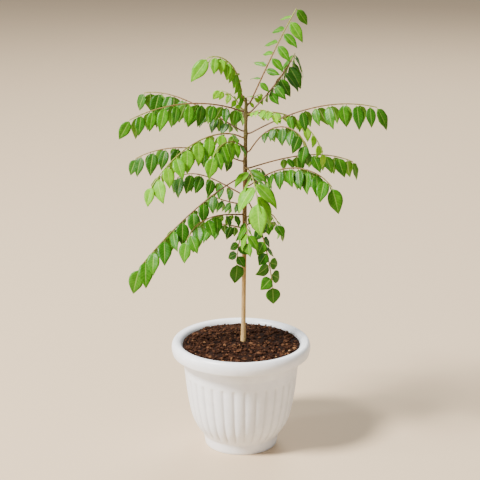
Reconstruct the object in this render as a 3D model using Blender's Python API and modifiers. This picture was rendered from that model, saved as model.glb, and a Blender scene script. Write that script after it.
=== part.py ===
# Curry leaf plant in a fluted white planter. Metres, +Z up, origin at the middle of the pot's underside.
import math
import random

import bmesh
import bpy
from mathutils import Matrix, Vector
from mathutils.bvhtree import BVHTree

MM = 0.001
UP = Vector((0, 0, 1))

# Pot: an injection-moulded shell with a turned-down rim, fluted sides and a plain foot
POT_HEIGHT = 205 * MM
RIM_RADIUS = 130 * MM
RIM_DROP = 25 * MM
LIP_RADIUS = 112 * MM
FOOT_RADIUS = 68 * MM
FOOT_HEIGHT = 20 * MM
WALL = 2.5 * MM
FLOOR = 3 * MM
FLUTES = 32
FLUTE_DEPTH = 2.4 * MM
FLUTE_BOTTOM = 24 * MM
FLUTE_TOP = 140 * MM
FLUTE_TURN = math.radians(4)
DRAIN_HOLES = 5
DRAIN_RADIUS = 4.5 * MM
DRAIN_CIRCLE = 38 * MM
# Outer radius of the side wall at a few heights, between which it is read along a smooth line
SIDE = [(20, 71), (30, 78), (45, 87.5), (65, 94.5), (90, 99.5), (118, 103.5), (150, 106.5), (182, 108.5)]

# Soil: fills the pot to just under the rim, a little domed and crumbly on top
SOIL_TOP = 197 * MM
SOIL_DOME = 4.5 * MM
SOIL_CRUMB = 1.6 * MM
SOIL_SIDES = 30
CLEARANCE = 0.3 * MM

# Trunk: one slender stem, rooted in the soil and leaning a little to +X
TRUNK_FOOT_X = 4 * MM
TRUNK_LEAN = 5 * MM
TRUNK_BURIED = 60 * MM
TRUNK_TOP = 662 * MM
# Radius of the trunk at a few heights
TRUNK_RADII = [(130, 5.4), (192, 5.4), (205, 5.1), (250, 4.2), (420, 3.9), (560, 3.4), (640, 2.4), (662, 1.6)]

# Fronds: pinnate leaves. Each leaves the trunk at a height, towards a heading (0 is +X, 270 is the front),
# starts at the angle rise above level, and ends at the angle fall. A bend over 1 keeps the curve for the tip.
# leaf is the length of a full-grown leaflet, end that of the one at the tip, and droop how far leaflets hang.
# roll turns the frond about its own stalk, positive bringing its upper side to the front on a frond to +X.
FIELDS = "name height heading length rise fall bend turn roll bare count leaf broad end droop seed".split()
FROND_ROWS = [
    ("frond_crown_tall", 650, 12, 190, 65, 60, 2.0, 0, 42, 0.24, 12, 40, 0.42, 36, 34, 1),
    ("frond_crown_arch", 656, 202, 122, 84, -18, 2.1, 0, -30, 0.1, 16, 30, 0.46, 50, 50, 2),
    ("frond_crown_small", 646, 60, 50, 40, 0, 1.0, 0, 30, 0.24, 5, 21, 0.54, 20, 30, 3),
    ("frond_crown_back", 634, 358, 186, 46, -24, 3.8, 96, 0, 0.28, 17, 46, 0.46, 60, 58, 4),
    ("frond_crown_left", 640, 168, 58, 66, 10, 1.3, 0, -20, 0.2, 7, 20, 0.54, 22, 34, 28),
    ("frond_crown_near", 632, 318, 66, 34, -20, 1.3, 0, 0, 0.2, 7, 20, 0.54, 22, 34, 29),
    ("frond_right_long", 597, 356, 240, 29, -13, 1.6, 0, 0, 0.34, 13, 44, 0.44, 44, 62, 5),
    ("frond_right_high", 629, 16, 170, 20, -72, 1.0, -36, 0, 0.16, 14, 28, 0.52, 28, 40, 6),
    ("frond_right_near", 564, 322, 168, 54, -80, 1.9, 0, 0, 0.36, 11, 35, 0.54, 30, 54, 7),
    ("frond_right_low_far", 533, 18, 210, 13, -26, 1.9, 0, 0, 0.34, 11, 37, 0.52, 40, 56, 8),
    ("frond_right_low_near", 501, 332, 186, 38, -48, 1.7, 0, 0, 0.32, 14, 46, 0.5, 52, 56, 9),
    ("frond_left_long", 637, 188, 210, 24, -26, 0.9, 0, 0, 0.06, 18, 42, 0.44, 44, 62, 10),
    ("frond_left_high_far", 601, 158, 208, 26, -12, 3.0, 0, 0, 0.14, 15, 40, 0.54, 42, 60, 31),
    ("frond_left_mid_far", 546, 172, 204, 20, -30, 1.5, 0, 0, 0.12, 15, 41, 0.48, 40, 60, 12),
    ("frond_left_mid_near", 590, 212, 216, 49, -52, 0.5, 0, 0, 0.08, 16, 43, 0.52, 42, 50, 13),
    ("frond_left_low_far", 485, 158, 138, 24, -39, 3.0, 0, 0, 0.16, 11, 39, 0.48, 36, 60, 14),
    ("frond_left_low_long", 517, 196, 252, -19, -49, 0.5, 0, 0, 0.22, 16, 46, 0.5, 48, 52, 15),
    ("frond_left_base_near", 448, 222, 145, 11, -62, 2.4, 0, 0, 0.12, 11, 39, 0.54, 40, 46, 16),
    ("frond_left_base_far", 421, 150, 116, 4, -59, 2.1, 0, 0, 0.14, 9, 35, 0.52, 34, 54, 17),
    ("frond_left_base_high", 464, 128, 102, -5, 5, 1.5, 0, 0, 0.14, 8, 30, 0.54, 30, 56, 18),
    ("frond_left_inner", 574, 236, 104, 34, -46, 1.4, 0, 0, 0.18, 9, 38, 0.54, 38, 48, 26),
    ("frond_hang_left", 415, 246, 64, -8, -88, 0.5, 0, 0, 0.16, 6, 26, 0.64, 45, 26, 19),
    ("frond_hang_right", 474, 312, 168, -35, -80, 0.5, 0, 0, 0.2, 12, 30, 0.74, 34, 22, 20),
    ("frond_short_right", 428, 12, 66, 12, -44, 1.8, 0, 0, 0.2, 5, 30, 0.74, 28, 40, 21),
    ("frond_base_front", 436, 276, 66, 6, -62, 1.4, 0, 0, 0.18, 6, 32, 0.6, 30, 44, 27),
    ("frond_front", 536, 280, 126, 9, -53, 1.4, 0, 0, 0.26, 7, 58, 0.56, 60, 36, 22),
    ("frond_back_high", 618, 98, 150, 24, -46, 1.4, 0, 0, 0.18, 8, 35, 0.5, 36, 56, 23),
    ("frond_back_mid", 512, 72, 150, 14, -52, 1.4, 0, 0, 0.18, 8, 36, 0.5, 36, 54, 24),
    ("frond_back_low", 440, 58, 132, 6, -58, 1.6, 0, 0, 0.18, 7, 34, 0.52, 34, 52, 25),
]
FRONDS = [dict(zip(FIELDS, row)) for row in FROND_ROWS]
PETIOLE_RADIUS = 1.5 * MM
RACHIS_TIP_RADIUS = 0.9 * MM
SMALL_FROND = 90
RACHIS_STEP = 16 * MM
FINE_STEP = 2 * MM
LAUNCH = 8 * MM

# Leaflet: an ovate blade, keeled along its midrib. Shares of its length, and its half width there.
BLADE_RINGS = [(0.0, 0.05), (0.31, 0.5), (0.68, 0.33)]
BLADE_THICK = 0.7 * MM
BLADE_NECK = 0.75 * MM
BLADE_FOLD = 0.10
BLADE_ARCH = 0.13
SMALLEST_LEAF = 0.68
# How far the leaflet at the tip rolls its upper face to the light, which comes from the front
TIP_ROLL = 52
# Turns tried, in degrees of droop and sweep, for a leaflet that would meet another frond
SWINGS = [(0, 0), (-18, 0), (0, 22), (18, 0), (0, -22), (-34, 10), (-34, -20), (16, 28), (-50, 0), (30, -26)]
LEAF_MARGIN = 1.18


def between(table, x):
    """Reads a table of (x, value) pairs along straight lines."""
    for (x0, v0), (x1, v1) in zip(table, table[1:]):
        if x <= x1:
            return v0 + (v1 - v0) * max(0.0, (x - x0) / (x1 - x0))
    return table[-1][1]


def new_collection(name):
    made = bpy.data.collections.new(name)
    bpy.context.scene.collection.children.link(made)
    return made


def material(name, colour, roughness):
    made = bpy.data.materials.new(name)
    made.use_nodes = True
    shader = made.node_tree.nodes["Principled BSDF"]
    shader.inputs["Base Color"].default_value = (*colour, 1)
    shader.inputs["Roughness"].default_value = roughness
    made.diffuse_color = (*colour, 1)
    return made


def add_object(name, data, collection, finish=None):
    made = bpy.data.objects.new(name, data)
    collection.objects.link(made)
    if finish:
        made.data.materials.clear()
        made.data.materials.append(finish)
    return made


def apply_modifiers(obj):
    """Gives obj the mesh that its modifiers, or its curve settings, make."""
    graph = bpy.context.evaluated_depsgraph_get()
    mesh = bpy.data.meshes.new_from_object(obj.evaluated_get(graph))
    obj.modifiers.clear()
    obj.data = mesh
    return obj


def turned(name, profile, sides, collection, finish):
    """A solid of revolution: profile is a list of (radius, height), from the outside's top or bottom to the axis."""
    mesh = bpy.data.meshes.new(name)
    mesh.from_pydata([(r, 0, z) for r, z in profile], [(i, i + 1) for i in range(len(profile) - 1)], [])
    obj = add_object(name, mesh, collection, finish)
    screw = obj.modifiers.new("Turn", "SCREW")
    screw.steps = screw.render_steps = sides
    screw.use_merge_vertices = True
    screw.merge_threshold = 0.00005
    screw.use_smooth_shade = True
    apply_modifiers(obj)
    solid = bmesh.new()
    solid.from_mesh(obj.data)
    bmesh.ops.remove_doubles(solid, verts=solid.verts, dist=0.00005)
    bmesh.ops.recalc_face_normals(solid, faces=solid.faces)
    solid.to_mesh(obj.data)
    solid.free()
    return obj


def tube(name, points, radii, resolution, collection, tilt=0.0):
    """A round stem through points, thinner or thicker as radii say, as one closed mesh."""
    curve = bpy.data.curves.new(name, "CURVE")
    curve.dimensions = "3D"
    curve.bevel_depth = 1.0
    curve.bevel_resolution = resolution
    curve.use_fill_caps = True
    spline = curve.splines.new("POLY")
    spline.points.add(len(points) - 1)
    for point, co, radius in zip(spline.points, points, radii):
        point.co = (*co, 1)
        point.radius = radius
        point.tilt = tilt
    source = add_object(name, curve, collection)
    graph = bpy.context.evaluated_depsgraph_get()
    mesh = bpy.data.meshes.new_from_object(source.evaluated_get(graph))
    bpy.data.objects.remove(source)
    solid = bmesh.new()
    solid.from_mesh(mesh)
    bmesh.ops.remove_doubles(solid, verts=solid.verts, dist=0.00001)
    bmesh.ops.recalc_face_normals(solid, faces=solid.faces)
    solid.to_mesh(mesh)
    solid.free()
    return add_object(name, mesh, collection)


def boolean(obj, operation, operand):
    """Cuts an object from obj, or joins a collection's objects to it, and applies that."""
    modifier = obj.modifiers.new(operation, "BOOLEAN")
    modifier.operation = operation
    modifier.solver = "EXACT"
    if isinstance(operand, bpy.types.Collection):
        modifier.operand_type = "COLLECTION"
        modifier.collection = operand
        modifier.solver = "MANIFOLD"
    else:
        modifier.object = operand
    apply_modifiers(obj)


def side_radius(height):
    """Outer radius of the pot's wall, at the crest of its flutes."""
    return between(SIDE, height / MM) * MM


def pot_profile():
    """The shell's section: under the foot, up the outside, over the rim and down the inside."""
    rim_low = POT_HEIGHT - RIM_DROP
    under_rim = POT_HEIGHT - 10 * MM
    outside = [(0, 0), (FOOT_RADIUS, 0), (FOOT_RADIUS + 3 * MM, FOOT_HEIGHT)]
    flutes = [FLUTE_BOTTOM, FLUTE_BOTTOM + 9 * MM, 60 * MM, 100 * MM, FLUTE_TOP, FLUTE_TOP + 5 * MM]
    outside += [(side_radius(z), z) for z in flutes]
    outside += [(side_radius(rim_low), rim_low), (side_radius(rim_low) + 1 * MM, under_rim)]
    rim = [
        (RIM_RADIUS - 7 * MM, under_rim),
        (RIM_RADIUS - 4.5 * MM, rim_low + 1 * MM),
        (RIM_RADIUS - 2.5 * MM, rim_low),
        (RIM_RADIUS, POT_HEIGHT - 13 * MM),
        (RIM_RADIUS - 2 * MM, POT_HEIGHT - 4 * MM),
        (RIM_RADIUS - 6.5 * MM, POT_HEIGHT),
        (LIP_RADIUS + 4 * MM, POT_HEIGHT - 1 * MM),
        (LIP_RADIUS, POT_HEIGHT - 5 * MM),
    ]
    return outside + rim + inner_wall() + [(0, FLOOR)]


def inner_wall(inset=0.0):
    """The inside of the wall, from the rim down to the floor, moved in by inset."""
    heights = [POT_HEIGHT - RIM_DROP, 100 * MM, 45 * MM, FLUTE_BOTTOM]
    wall = [(side_radius(z) - FLUTE_DEPTH - WALL - inset, z) for z in heights]
    return wall + [(FOOT_RADIUS - WALL - inset, FLOOR + inset)]


def build_pot(collection):
    finish = material("white_polypropylene", (0.86, 0.87, 0.89), 0.35)
    pot = turned("pot", pot_profile(), 2 * FLUTES, collection, finish)
    step = math.pi / FLUTES
    for vertex in pot.data.vertices:
        x, y, z = vertex.co
        radius = math.hypot(x, y)
        on_side = abs(radius - side_radius(z)) < 0.5 * MM
        in_flute = FLUTE_BOTTOM + 1 * MM < z < FLUTE_TOP + 1 * MM
        if on_side and in_flute and round(math.atan2(y, x) / step) % 2:
            vertex.co.xy *= 1 - FLUTE_DEPTH / radius
    turn = Matrix.Rotation(-math.pi / 2 + FLUTE_TURN - step, 4, "Z")
    pot.data.transform(turn)
    cutters = new_collection("cutters")
    for i in range(DRAIN_HOLES):
        angle = 2 * math.pi * i / DRAIN_HOLES
        bpy.ops.mesh.primitive_cylinder_add(
            vertices=10,
            radius=DRAIN_RADIUS,
            depth=6 * FLOOR,
            location=(DRAIN_CIRCLE * math.cos(angle), DRAIN_CIRCLE * math.sin(angle), 0),
        )
        cutter = take_active(f"drain_{i}", cutters)
        boolean(pot, "DIFFERENCE", cutter)
        bpy.data.objects.remove(cutter)
    pot.data.set_sharp_from_angle(angle=math.radians(30))
    return pot


def take_active(name, collection):
    """Names the object just added, and moves it to a collection."""
    made = bpy.context.object
    made.name = name
    for owner in list(made.users_collection):
        owner.objects.unlink(made)
    collection.objects.link(made)
    return made


def build_soil(collection):
    finish = material("potting_mix", (0.13, 0.06, 0.03), 0.95)
    rim_inside = side_radius(POT_HEIGHT - RIM_DROP) - FLUTE_DEPTH - WALL
    edge_share = (SOIL_TOP - POT_HEIGHT + RIM_DROP) / (RIM_DROP - 5 * MM)
    edge = rim_inside + (LIP_RADIUS - rim_inside) * edge_share - 2 * CLEARANCE
    rings = [edge * share for share in (0.25, 0.5, 0.75)]
    top = [(0, SOIL_TOP + SOIL_DOME)]
    top += [(r, SOIL_TOP + SOIL_DOME * (1 - (r / edge) ** 2)) for r in rings]
    wall = [(r - CLEARANCE, z) for r, z in inner_wall(2 * CLEARANCE)]
    profile = top + [(edge, SOIL_TOP)] + wall + [(0, FLOOR + 2 * CLEARANCE)]
    soil = turned("soil", profile, SOIL_SIDES, collection, finish)
    draw = random.Random(5)
    for vertex in soil.data.vertices:
        if vertex.co.z > SOIL_TOP + 0.1 * MM:
            vertex.co.z += draw.uniform(-SOIL_CRUMB, SOIL_CRUMB)
    bottom = SOIL_TOP - TRUNK_BURIED - CLEARANCE
    bpy.ops.mesh.primitive_cylinder_add(
        vertices=20,
        radius=trunk_radius(0.15) + 2 * CLEARANCE,
        depth=0.2,
        location=(TRUNK_FOOT_X, 0, bottom + 0.1),
    )
    hole = take_active("trunk_hole", collection)
    boolean(soil, "DIFFERENCE", hole)
    bpy.data.objects.remove(hole)
    return soil


def trunk_point(height):
    share = max(0.0, (height - SOIL_TOP) / 0.5)
    return Vector((TRUNK_FOOT_X + TRUNK_LEAN * share, 0, height))


def trunk_radius(height):
    return between(TRUNK_RADII, height / MM) * MM


def build_trunk(collection):
    heights = [SOIL_TOP - TRUNK_BURIED, SOIL_TOP, 0.207, 0.25, 0.34, 0.42, 0.49, 0.56, 0.60, 0.64, TRUNK_TOP]
    points = [trunk_point(z) for z in heights]
    trunk = tube("trunk", points, [trunk_radius(z) for z in heights], 3, collection)
    trunk.data.materials.append(material("trunk_bark", (0.42, 0.31, 0.20), 0.85))
    trunk.data.shade_smooth()
    trunk.data.set_sharp_from_angle(angle=math.radians(40))
    return trunk


def frond_line(frond):
    """The rachis as points FINE_STEP apart, from the trunk's surface to the tip. It leaves the trunk level."""
    heading = math.radians(frond["heading"])
    outward = Vector((math.cos(heading), math.sin(heading), 0))
    base = frond["height"] * MM
    point = trunk_point(base) + outward * (trunk_radius(base) + CLEARANCE)
    length = frond["length"] * MM
    count = round(length / FINE_STEP)
    points = [point]
    for i in range(count):
        share = (i + 0.5) / count
        angle = frond["rise"] + (frond["fall"] - frond["rise"]) * share ** frond["bend"]
        lift = math.radians(angle) * min(1.0, share * length / LAUNCH)
        turn = heading + math.radians(frond["turn"]) * share
        flat = Vector((math.cos(turn), math.sin(turn), 0))
        point = point + (flat * math.cos(lift) + UP * math.sin(lift)) * (length / count)
        points.append(point)
    return points


def coarse(points):
    """Points for the tube: close together where the petiole turns out of the trunk, then RACHIS_STEP apart."""
    stride = round(RACHIS_STEP / FINE_STEP)
    picked = [0, 1, 3]
    picked += list(range(stride, len(points) - stride // 2, stride))
    return [points[i] for i in picked] + [points[-1]]


def rachis_radius(frond, share):
    size = 0.75 if frond["length"] < SMALL_FROND else 1.0
    return size * (PETIOLE_RADIUS + (RACHIS_TIP_RADIUS - PETIOLE_RADIUS) * share ** 0.6)


def leaf_axes(tangent, side, droop, sweep, twist, roll):
    """Directions of a leaflet's width, its upper face and its length. Side is 1 or -1."""
    turn = Matrix.Rotation(roll, 3, tangent)
    upper = turn @ (UP - tangent * UP.dot(tangent)).normalized()
    across = turn @ tangent.cross(UP).normalized() * side
    along = across * math.cos(sweep) + tangent * math.sin(sweep)
    along = (along * math.cos(droop) - UP * math.sin(droop)).normalized()
    face = upper * math.cos(droop) + across * math.sin(droop)
    face = (face - along * face.dot(along)).normalized()
    face.rotate(Matrix.Rotation(twist, 3, along))
    return face.cross(along).normalized(), face, along


def leaf_places(frond):
    """Root, tangent, side, length, width, droop, sweep, twist and roll of each leaflet, from trunk to tip."""
    points = frond_line(frond)
    draw = random.Random(frond["seed"])
    last = len(points) - 1
    places = []
    for i in range(frond["count"] + 1):
        at_tip = i == frond["count"]
        step = i - 0.5 * (i % 2)
        share = frond["bare"] + (1 - frond["bare"]) * (1 if at_tip else step / frond["count"])
        index = last if at_tip else min(last - 1, round(share * last))
        near = max(1, index)
        tangent = (points[near] - points[near - 1]).normalized()
        grown = SMALLEST_LEAF + (1 - SMALLEST_LEAF) * min(1.0, 2.2 * i / frond["count"])
        length = (frond["end"] if at_tip else frond["leaf"] * grown) * MM * draw.uniform(0.88, 1.10)
        droop = math.radians((TIP_ROLL if at_tip else frond["droop"]) + draw.uniform(-13, 13))
        sweep = math.pi / 2 if at_tip else math.radians(draw.uniform(8, 36))
        twist = math.radians(draw.uniform(-26, 26))
        side = 1 if (tangent.x > 0 if at_tip else (i + frond["seed"]) % 2) else -1
        roll = math.radians(frond["roll"])
        if roll * side < 0:
            twist += roll
        places.append((points[index], tangent, side, length, length * frond["broad"], droop, sweep, twist, roll))
    return places


def blade_mesh():
    """A leaflet one unit long and wide: a three-sided spike with two edges and a keel, ringed across."""
    blade = bmesh.new()
    bmesh.ops.create_cone(blade, cap_ends=True, segments=3, radius1=1, radius2=0, depth=1)
    bmesh.ops.translate(blade, verts=blade.verts, vec=(0, 0, 0.5))
    for share, _ in BLADE_RINGS[1:]:
        everything = blade.verts[:] + blade.edges[:] + blade.faces[:]
        bmesh.ops.bisect_plane(blade, geom=everything, plane_co=(0, 0, share), plane_no=(0, 0, 1))
    for vertex in blade.verts:
        edge = math.copysign(1, vertex.co.x) if abs(vertex.co.x) > 0.01 else 0
        for share, half in BLADE_RINGS:
            if abs(vertex.co.z - share) < 0.01:
                vertex.co.x = edge * half
                vertex.co.y = 0 if edge else -1
    bmesh.ops.triangulate(blade, faces=blade.faces)
    bmesh.ops.recalc_face_normals(blade, faces=blade.faces)
    mesh = bpy.data.meshes.new("leaflet")
    blade.to_mesh(mesh)
    blade.free()
    return mesh


def leaf_matrix(root, axes):
    """Stands a leaflet on its root, with its width, upper face and length along axes."""
    turn = Matrix(axes).transposed().to_4x4()
    return Matrix.Translation(root) @ turn


def shape_leaf(template, length, width, margin=1.0):
    """Points of a leaflet of that size: its edges raised over the keel, and its tip bent down."""
    points = []
    for vertex in template.vertices:
        x, keel, z = vertex.co
        across = math.copysign(BLADE_NECK, x) if z < 0.01 and x else x * width * margin
        thick = keel * BLADE_THICK * (1 if margin == 1 else 1.5)
        raised = BLADE_THICK / 3 + abs(across) * BLADE_FOLD
        points.append(Vector((across, thick + (0 if keel else raised) - BLADE_ARCH * length * z * z, z * length)))
    return points


def leaf_solid(place, template, swing, margin=1.0):
    """World points of a leaflet after a swing in droop and sweep."""
    root, tangent, side, length, width, droop, sweep, twist, roll = place
    at_tip = sweep > 1.5
    sweep_by = 0 if at_tip else math.radians(swing[1])
    axes = leaf_axes(tangent, side, droop + math.radians(swing[0]), sweep + sweep_by, twist, roll)
    matrix = leaf_matrix(root, axes)
    return [matrix @ point for point in shape_leaf(template, length, width, margin)]


def faces_of(mesh):
    return [tuple(polygon.vertices) for polygon in mesh.polygons]


def tree_of(solids):
    """One search tree over several (points, faces) solids."""
    points, faces = [], []
    for solid_points, solid_faces in solids:
        start = len(points)
        points += solid_points
        faces += [tuple(i + start for i in face) for face in solid_faces]
    return BVHTree.FromPolygons(points, faces)


def build_fronds(collection, trunk):
    """All fronds in turn. A leaflet that would meet another frond swings clear of it, or is left out."""
    green = material("curry_leaf_green", (0.10, 0.33, 0.03), 0.45)
    template = blade_mesh()
    leaf_faces = faces_of(template)
    stems = {}
    for frond in FRONDS:
        line = coarse(frond_line(frond))
        last = len(line) - 1
        radii = [rachis_radius(frond, i / last) for i in range(last + 1)]
        stems[frond["name"]] = tube(frond["name"], line, radii, 0, collection, math.pi / 4)
    outlines = {name: ([v.co.copy() for v in stem.data.vertices], faces_of(stem.data)) for name, stem in stems.items()}
    placed = {frond["name"]: [] for frond in FRONDS}
    trunk_solid = ([v.co.copy() for v in trunk.data.vertices], faces_of(trunk.data))
    left_out = 0
    for frond in FRONDS:
        name = frond["name"]
        others = [trunk_solid] + [outline for key, outline in outlines.items() if key != name]
        others += [leaf for key, leaves in placed.items() if key != name for leaf in leaves]
        obstacles = tree_of(others)
        leaves = new_collection(name + "_leaves")
        for place in leaf_places(frond):
            for swing in SWINGS:
                test = BVHTree.FromPolygons(leaf_solid(place, template, swing, LEAF_MARGIN), leaf_faces)
                if not test.overlap(obstacles):
                    break
            else:
                left_out += 1
                continue
            points = leaf_solid(place, template, swing)
            placed[name].append((points, leaf_faces))
            mesh = bpy.data.meshes.new("leaflet")
            mesh.from_pydata(points, [], leaf_faces)
            add_object("leaflet", mesh, leaves)
        boolean(stems[name], "UNION", leaves)
        for leaf in list(leaves.objects):
            bpy.data.objects.remove(leaf)
        bpy.data.collections.remove(leaves)
        stems[name].data.materials.clear()
        stems[name].data.materials.append(green)
    print("leaflets placed", sum(len(leaves) for leaves in placed.values()), "left out", left_out)


def main():
    for obj in list(bpy.data.objects):
        bpy.data.objects.remove(obj)
    plant = new_collection("curry_leaf_plant")
    build_pot(plant)
    build_soil(plant)
    trunk = build_trunk(plant)
    build_fronds(plant, trunk)


main()
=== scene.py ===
import math
import random

import bmesh
import bpy
from mathutils import Matrix, Vector, noise
from mathutils.bvhtree import BVHTree


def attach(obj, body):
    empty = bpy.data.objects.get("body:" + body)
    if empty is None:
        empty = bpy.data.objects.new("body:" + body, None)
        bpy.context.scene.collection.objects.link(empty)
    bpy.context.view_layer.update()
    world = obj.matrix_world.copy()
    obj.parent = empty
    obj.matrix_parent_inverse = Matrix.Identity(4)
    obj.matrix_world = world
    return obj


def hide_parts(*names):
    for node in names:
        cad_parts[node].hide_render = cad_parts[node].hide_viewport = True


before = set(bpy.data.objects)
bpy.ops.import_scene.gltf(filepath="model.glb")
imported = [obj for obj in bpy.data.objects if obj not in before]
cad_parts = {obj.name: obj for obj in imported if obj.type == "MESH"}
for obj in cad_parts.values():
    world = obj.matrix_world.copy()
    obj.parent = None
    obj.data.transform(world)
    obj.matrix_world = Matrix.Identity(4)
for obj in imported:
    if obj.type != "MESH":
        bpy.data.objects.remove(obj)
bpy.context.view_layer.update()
mm = 0.001
up = Vector((0, 0, 1))


# small helpers for colours, nodes, tables and pieces

def hexToLinear(code, alpha=1.0):
    # "#rrggbb" as the eye sees it, turned to the linear values that shaders take
    parts = [int(code[i:i + 2], 16) / 255 for i in (1, 3, 5)]
    return (*[p / 12.92 if p <= 0.04045 else ((p + 0.055) / 1.055) ** 2.4 for p in parts], alpha)


def addNode(tree, kind, inputs=None, **settings):
    # one shader node: settings are its own choices, inputs are socket values or the outputs that feed them
    node = tree.nodes.new("ShaderNode" + kind)
    for name, value in settings.items():
        setattr(node, name, value)
    for socket, value in (inputs or {}).items():
        if isinstance(value, bpy.types.NodeSocket):
            tree.links.new(value, node.inputs[socket])
        else:
            node.inputs[socket].default_value = value
    return node


def newMaterial(name, roughness, ior=1.5, **constants):
    # a finish with the values that are the same all over it; underscores stand for spaces in sockets' names
    finish = bpy.data.materials.new(name)
    finish.use_nodes = True
    shader = finish.node_tree.nodes["Principled BSDF"]
    shader.inputs["Roughness"].default_value = roughness
    shader.inputs["IOR"].default_value = ior
    for socket, value in constants.items():
        shader.inputs[socket.replace("_", " ")].default_value = value
    return finish, finish.node_tree, shader


def setRamp(node, stops):
    # gives a colour ramp its stops and hands back its colour
    ramp = node.color_ramp
    while len(ramp.elements) < len(stops):
        ramp.elements.new(0.5)
    for element, (place, code) in zip(ramp.elements, stops):
        element.position = place
        element.color = hexToLinear(code)
    return node.outputs["Color"]


def readTable(table, x):
    # straight lines between (x, value) pairs
    for (x0, v0), (x1, v1) in zip(table, table[1:]):
        if x <= x1:
            return v0 + (v1 - v0) * max(0.0, (x - x0) / (x1 - x0))
    return table[-1][1]


def readSmooth(table, x):
    # a smooth line through (x, value) pairs
    last = len(table) - 1
    x = min(max(x, table[0][0]), table[last][0])
    i = next(k for k in range(last) if x <= table[k + 1][0])
    (x0, v0), (x1, v1) = table[i], table[i + 1]
    before, after = table[max(0, i - 1)], table[min(last, i + 2)]
    m0 = (v1 - before[1]) / (x1 - before[0]) * (x1 - x0)
    m1 = (after[1] - v0) / (after[0] - x0) * (x1 - x0)
    t = (x - x0) / (x1 - x0)
    return (
        (2 * t**3 - 3 * t**2 + 1) * v0 + (t**3 - 2 * t**2 + t) * m0
        + (3 * t**2 - 2 * t**3) * v1 + (t**3 - t**2) * m1
    )


def newObject(name, shape):
    # turns a bmesh into an object whose vertices stand where the bmesh had them
    mesh = bpy.data.meshes.new(name)
    shape.to_mesh(mesh)
    shape.free()
    thing = bpy.data.objects.new(name, mesh)
    bpy.context.scene.collection.objects.link(thing)
    return thing


def addPiece(name, shape, materials, replaced=(), smoothAngle=None):
    # a finished piece of the plant: smooth apart from edges sharper than smoothAngle degrees
    piece = newObject(name, shape)
    for finish in materials:
        piece.data.materials.append(finish)
    piece.data.shade_smooth()
    if smoothAngle:
        piece.data.set_sharp_from_angle(angle=math.radians(smoothAngle))
    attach(piece, "root")
    if replaced:
        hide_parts(*replaced)
    return piece


def growStalk(shape, points, radii, sides, layers=None):
    # a round stalk: a circle that is extruded from station to station; layers gives a value per station
    heading = (points[1] - points[0]).normalized()
    turn = up.rotation_difference(heading)
    place = Matrix.Translation(points[0]) @ turn.to_matrix().to_4x4()
    first = bmesh.ops.create_circle(shape, segments=sides, radius=radii[0], matrix=place)["verts"]
    ring = list(dict.fromkeys(edge for vert in first for edge in vert.link_edges))
    rings = [first]
    for i in range(1, len(points)):
        ahead = points[min(i + 1, len(points) - 1)] - points[i - 1]
        newHeading = ahead.normalized()
        turn = heading.rotation_difference(newHeading).to_matrix().to_4x4()
        grown = bmesh.ops.extrude_edge_only(shape, edges=ring)["geom"]
        verts = [g for g in grown if isinstance(g, bmesh.types.BMVert)]
        ring = [g for g in grown if isinstance(g, bmesh.types.BMEdge)]
        scale = Matrix.Scale(radii[i] / radii[i - 1], 4)
        move = Matrix.Translation(points[i]) @ turn @ scale @ Matrix.Translation(-points[i - 1])
        bmesh.ops.transform(shape, matrix=move, verts=verts)
        rings.append(verts)
        heading = newHeading
    start = dict.fromkeys(edge for vert in first for edge in vert.link_edges if edge.is_boundary)
    bmesh.ops.contextual_create(shape, geom=list(start))
    bmesh.ops.contextual_create(shape, geom=ring)
    for name, values in (layers or {}).items():
        layer = shape.verts.layers.float[name]
        for verts, value in zip(rings, values):
            for vert in verts:
                vert[layer] = value


# how the plant grows, by the same rules and draws as the solids, so that each finer piece lies on its solid

trunkSize = {
    "footX": 4 * mm, "lean": 5 * mm, "leanRise": 500 * mm, "soil": 197 * mm, "buried": 60 * mm,
    "top": 662 * mm, "gap": 0.3 * mm,
}
trunkStations = [197, 207, 250, 340, 420, 490, 560, 600, 640, 662]  # heights in mm
# (height, radius) in mm
trunkTable = [(130, 5.4), (192, 5.4), (205, 5.1), (250, 4.2), (420, 3.9), (560, 3.4), (640, 2.4), (662, 1.6)]
leafSize = {
    "rings": [(0.0, 0.05), (0.31, 0.5), (0.68, 0.33)], "thick": 0.7 * mm, "neck": 0.75 * mm,
    "fold": 0.10, "arch": 0.13, "smallest": 0.68, "growth": 2.2, "sizes": (0.88, 1.10),
    "tipDroop": 52, "droopSpread": 13, "sweeps": (8, 36), "twistSpread": 26,
    "margin": 1.18, "marginThick": 1.5,
    "swings": [
        (0, 0), (-18, 0), (0, 22), (18, 0), (0, -22), (-34, 10), (-34, -20), (16, 28), (-50, 0), (30, -26),
    ],
}
stalkSize = {
    "base": 1.5 * mm, "tip": 0.9 * mm, "taper": 0.6, "small": 90, "smallShare": 0.75,
    "step": 16 * mm, "fine": 2 * mm, "launch": 8 * mm,
}
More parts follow.
